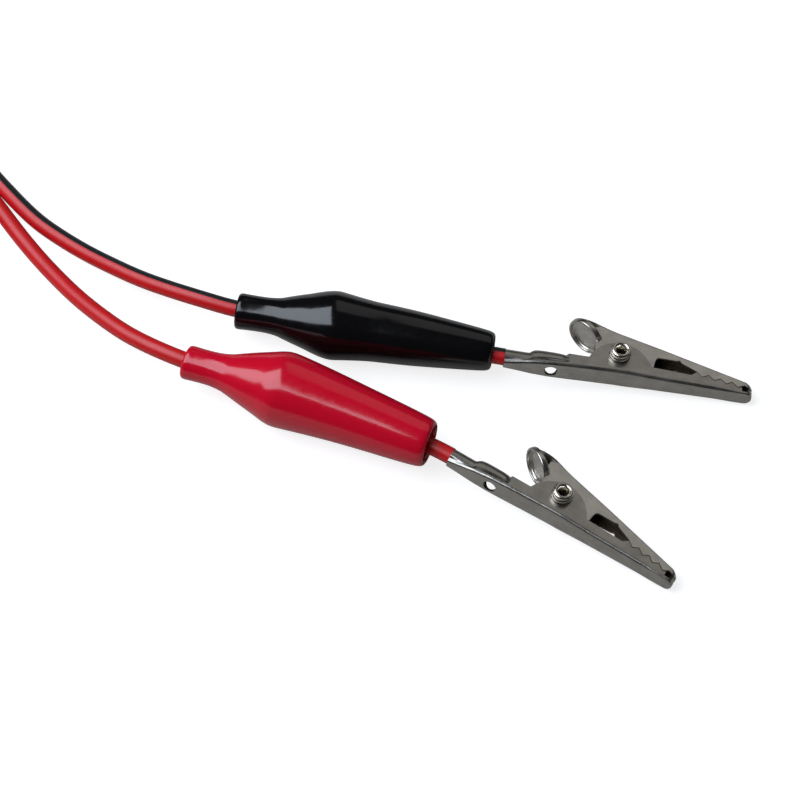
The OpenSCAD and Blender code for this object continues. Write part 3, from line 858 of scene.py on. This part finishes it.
BOOT_AT = {"red": ((-55.3, 16.15, 7.6), 20.7), "black": ((-45.5, 28.25, 6.9), 10.5)}
BOW = {"red": 0.85, "black": 0.15}  # how far each boot is bent sideways
WALL = 0.9  # the boots' thickness
BOOT_CURVE = {  # (x, r) from the wire's end to the mouth
    "red": [(0.0, 3.1), (0.12, 3.3), (0.45, 3.42), (2.4, 3.40), (4.6, 3.38), (6.3, 3.48),
            (8.3, 3.81), (10.2, 4.44), (12.2, 5.17), (14.2, 5.86), (16.2, 6.54), (18.0, 7.18),
            (19.4, 7.52), (20.5, 7.6), (22, 7.5), (24, 7.32), (27.9, 6.94), (33.8, 6.38),
            (39.7, 5.88), (45.6, 5.4), (48.8, 5.08), (50.3, 4.86), (51.05, 4.6), (51.4, 4.3),
            (51.5, 4.05)],
    "black": [(0.0, 3.3), (0.12, 3.48), (0.45, 3.6), (2.4, 3.56), (4.6, 3.53), (6.3, 3.58),
              (8.3, 3.84), (10.2, 4.42), (12.2, 5.03), (14.0, 5.55), (15.8, 6.13), (17.5, 6.6),
              (18.9, 6.85), (20, 6.88), (21.6, 6.68), (23.6, 6.41), (27.4, 5.98), (31.3, 5.76),
              (35.1, 5.53), (39, 5.2), (42.8, 4.83), (46.7, 4.44), (49.2, 4.16), (50.4, 3.98),
              (51.1, 3.74), (51.42, 3.5), (51.5, 3.3)],
}


def boot(lead):
    """A sleeve with an open bore, rolled over at both ends."""
    at, heading = BOOT_AT[lead]
    outer = through(BOOT_CURVE[lead], 0.35)
    inner = [(x, r - WALL) for x, r in outer if 0.6 < x < 50.6]
    mouth, rear = inner[-1][1], inner[0][1]
    profile = [tuple(p) for p in outer] + [(51.45, mouth + 0.25), (51.25, mouth + 0.06)]
    profile += inner[::-1] + [(0.25, rear - 0.02), (0.05, rear + 0.15)]
    obj = lathe(lead + "_sleeve", profile, 128, None, 1.0, BOOT[lead], closed=True, sharp=50)
    for v in obj.data.vertices:
        v.co.y += BOW[lead] * (math.sin(math.pi * min(v.co.x / 43, 1.2)) - 0.15)
    moved(obj, Matrix.Translation(at) @ Matrix.Rotation(math.radians(-heading), 4, "Z"))
    tidy(obj, 50)
    return obj


for lead in LEADS:
    obj = boot(lead)
    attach(obj, lead + "_boot_body")
    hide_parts(lead + "_boot")

# ---------------------------------------------------------------- plugs

PLUG_AT = {"red": (-122, 2, 4.9), "black": (-142, 2, 4.9)}
COLLAR, SLEEVE, PIN_LEN = 7.0, 28.0, 17.0
END = COLLAR + SLEEVE  # where the pin comes out of the sleeve
BORE = 1.72


def rounded(points, radius, steps):
    """A profile with all its corners rounded, apart from its two ends."""
    out = [points[0]]
    for a, b, c in zip(points, points[1:], points[2:]):
        a, b, c = np.array(a, float), np.array(b, float), np.array(c, float)
        u, v = a - b, c - b
        lu, lv = np.linalg.norm(u), np.linalg.norm(v)
        r = min(radius, 0.45 * lu, 0.45 * lv)
        p, q = b + u / lu * r, b + v / lv * r
        for t in np.linspace(0, 1, steps + 1):
            out.append(tuple((1 - t) ** 2 * p + 2 * t * (1 - t) * b + t * t * q))
    out.append(points[-1])
    return out


def plug_collar(lead, place):
    """The ribbed strain relief."""
    profile = [(0, BORE), (0, 2.6)]
    for k in range(5):
        x, r = 0.5 + 1.2 * k, 2.75 + 0.2 * k
        profile += [(x, r), (x + 0.7, r), (x + 0.72, r - 0.3), (x + 1.15, r - 0.26)]
    profile += [(6.6, 3.85), (COLLAR, 3.9), (COLLAR, BORE)]
    return lathe(lead + "_relief", rounded(profile, 0.14, 3), 72, place, MM, PLUG[lead],
                 closed=True, sharp=50)


def plug_grip(lead, place):
    """The sleeve, with rings to hold it by."""
    groove = 4.2
    profile = [(COLLAR, 1.7), (COLLAR, 4.3), (COLLAR + 0.5, 4.85), (COLLAR + 6, 4.9),
               (COLLAR + 7.2, groove)]
    x = COLLAR + 7.4
    while x < END - 6:
        profile += [(x, groove), (x + 0.25, 4.36), (x + 0.75, 4.36), (x + 1.0, groove)]
        x += 1.25
    profile += [(END - 5, groove), (END - 4, 4.88), (END - 0.5, 4.9), (END, 4.5), (END, BORE)]

    def flats(x, r, a):
        """The rings stop at a smooth band on each side."""
        if COLLAR + 7.1 < x < END - 5 and r > 4.1:
            r = groove + (r - groove) * smooth_step(0.25, 0.45, abs(math.cos(a)))
        return x, r

    return lathe(lead + "_grip", rounded(profile, 0.12, 2), 96, place, MM, PLUG[lead],
                 closed=True, sharp=50, wave=flats)


def plug_screw(lead, place):
    """The slotted screw that clamps the wire, in the sleeve's side."""
    profile = rounded([(BORE, 0), (BORE, 1.2), (3.9, 1.2), (3.9, 0)], 0.18, 3)
    upright = Matrix.Rotation(math.radians(-90), 4, "Y")
    obj = lathe(lead + "_grub_screw", profile, 48, upright, 1.0, sharp=40)
    cut(obj, [box_cutter((-1.5, -0.2, 3.45), (1.5, 0.2, 4.6))])
    moved(obj, place @ Matrix.Translation((COLLAR + SLEEVE / 2, 0, 0)))
    return obj


def plug_pin(lead, place):
    """The 4 mm pin: it bulges between its slits and stands thinner inside the sleeve."""
    profile = [(COLLAR + 6.1, 0), (COLLAR + 6.1, 1.68), (END, 1.68), (END, 2.0), (END + 1.2, 2.0),
               (END + 2.2, 1.62)]
    profile += [(END + 3.2 + k, 1.66 + 0.33 * math.sin(math.pi * k / 10)) for k in range(11)]
    profile += [(END + 14.2, 1.6), (END + 15.2, 1.6), (END + 16.2, 1.35), (END + PIN_LEN, 0.7),
                (END + PIN_LEN, 0)]
    obj = lathe(lead + "_pin", profile, 64, None, 1.0)
    slits = [box_cutter((END + 3.4, -0.16, -3), (END + 13.2, 0.16, 3)) for _ in range(2)]
    for slit, turn in zip(slits, (45, 135)):
        slit.data.transform(Matrix.Rotation(math.radians(turn), 4, "X"))
    cut(obj, slits)
    moved(obj, place)
    return obj


for lead in LEADS:
    place = Matrix.Translation(PLUG_AT[lead]) @ Matrix.Rotation(math.radians(-90), 4, "Z")
    pieces = [(plug_collar(lead, place), "_plug_collar", lead + "_plug_plastic"),
              (plug_grip(lead, place), "_plug_sleeve", lead + "_plug_plastic"),
              (plug_screw(lead, place), "_plug_screw", "plug_metal"),
              (plug_pin(lead, place), "_plug_pin", "plug_metal")]
    for obj, node, slot_name in pieces:
        if slot_name == "plug_metal":
            obj.data.materials.append(PIN)
            tidy(obj, 38)
        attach(obj, "leads")
        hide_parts(lead + node)

# ---------------------------------------------------------------- the tie round the coil


def tie():
    """A flat strap round the coil's section: a rounded rectangle, with ribs on its outside."""
    low_x, high_x, low_z, high_z, radius = 7.0, 33.6, 0.25, 7.9, 1.4
    corners = ((low_x + radius, low_z + radius, 180), (high_x - radius, low_z + radius, 270),
               (high_x - radius, high_z - radius, 0), (low_x + radius, high_z - radius, 90))
    path = []
    for cx, cz, a0 in corners:
        for a in np.radians(np.linspace(a0, a0 + 90, 9)):
            path.append((cx + radius * math.cos(a), cz + radius * math.sin(a)))
    path = np.array(path)
    half, t = 2.0, 0.22
    section = [(-half, -t), (-half + 0.12, -t - 0.06), (half - 0.12, -t - 0.06), (half, -t),
               (half, t), (half - 0.12, t + 0.06), (half - 0.6, t + 0.06), (half - 0.75, t - 0.03),
               (-half + 0.75, t - 0.03), (-half + 0.6, t + 0.06), (-half + 0.12, t + 0.06),
               (-half, t)]
    verts, faces = [], []
    n, m = len(path), len(section)
    for i in range(n):
        d = path[(i + 1) % n] - path[i - 1]
        d /= np.linalg.norm(d)
        out = np.array([d[1], -d[0]])
        for y, o in section:
            x, z = path[i] + out * o
            verts.append((x, y, z))
        j = (i + 1) % n
        for k in range(m):
            following = (k + 1) % m
            faces.append((i * m + k, j * m + k, j * m + following, i * m + following))
    return new_object("coil_strap", verts, faces, None, 1.0)


strap = tie()
moved(strap, Matrix.Translation((*COIL, 0)) @ Matrix.Rotation(math.radians(300), 4, "Z"))
strap.data.materials.append(TIE)
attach(strap, "leads")
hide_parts("coil_tie")

for lead in LEADS:
    line, _ = cords[lead]

# ---------------------------------------------------------------- floor and light

def floor_material():
    """White with a faint shadow to the camera, a dimmer table to everything that reflects it."""
    m = bpy.data.materials.new("paper")
    m.use_nodes = True
    nodes, links = m.node_tree.nodes, m.node_tree.links
    nodes.clear()
    out = nodes.new("ShaderNodeOutputMaterial")
    mix = nodes.new("ShaderNodeMixShader")
    rays = nodes.new("ShaderNodeLightPath")
    table_top = nodes.new("ShaderNodeBsdfDiffuse")
    table_top.inputs["Color"].default_value = (0.56, 0.525, 0.48, 1)
    paper = nodes.new("ShaderNodeBsdfDiffuse")
    paper.inputs["Color"].default_value = (0.4, 0.4, 0.4, 1)
    glow = nodes.new("ShaderNodeEmission")
    glow.inputs["Color"].default_value = (1, 1, 1, 1)
    glow.inputs["Strength"].default_value = 0.8
    both = nodes.new("ShaderNodeAddShader")
    links.new(paper.outputs[0], both.inputs[0])
    links.new(glow.outputs[0], both.inputs[1])
    links.new(rays.outputs["Is Camera Ray"], mix.inputs["Fac"])
    links.new(table_top.outputs[0], mix.inputs[1])
    links.new(both.outputs[0], mix.inputs[2])
    links.new(mix.outputs[0], out.inputs[0])
    return m


bpy.ops.mesh.primitive_plane_add(size=3, location=(0, 0, -0.00005))
floor = bpy.context.object
floor.name = "floor"
floor.data.materials.append(floor_material())


def softbox(name, at, size, radiance, color):
    """A rectangular light that shines straight down."""
    light = placed(name, bpy.data.lights.new(name, "AREA"))
    light.data.shape = "RECTANGLE"
    light.data.size, light.data.size_y = size
    light.data.energy = radiance * math.pi * size[0] * size[1]
    light.data.color = color
    light.location = at
    light.rotation_euler = Vector((0, 0, -at[2])).to_track_quat("-Z", "Y").to_euler()


softbox("key", (-0.565, 0.075, 0.62), (0.87, 0.75), 4.4, (0.90, 0.98, 1.10))
softbox("panel", (0.48, 0.70, 0.62), (0.87, 0.95), 0.42, (1.0, 0.98, 0.94))
world = bpy.data.worlds.new("studio")
bpy.context.scene.world = world
world.use_nodes = True
world.node_tree.nodes["Background"].inputs[0].default_value = (0.9, 0.95, 1.0, 1)
world.node_tree.nodes["Background"].inputs[1].default_value = 0.03
bpy.context.scene.view_settings.view_transform = "Standard"
bpy.context.scene.view_settings.look = "None"
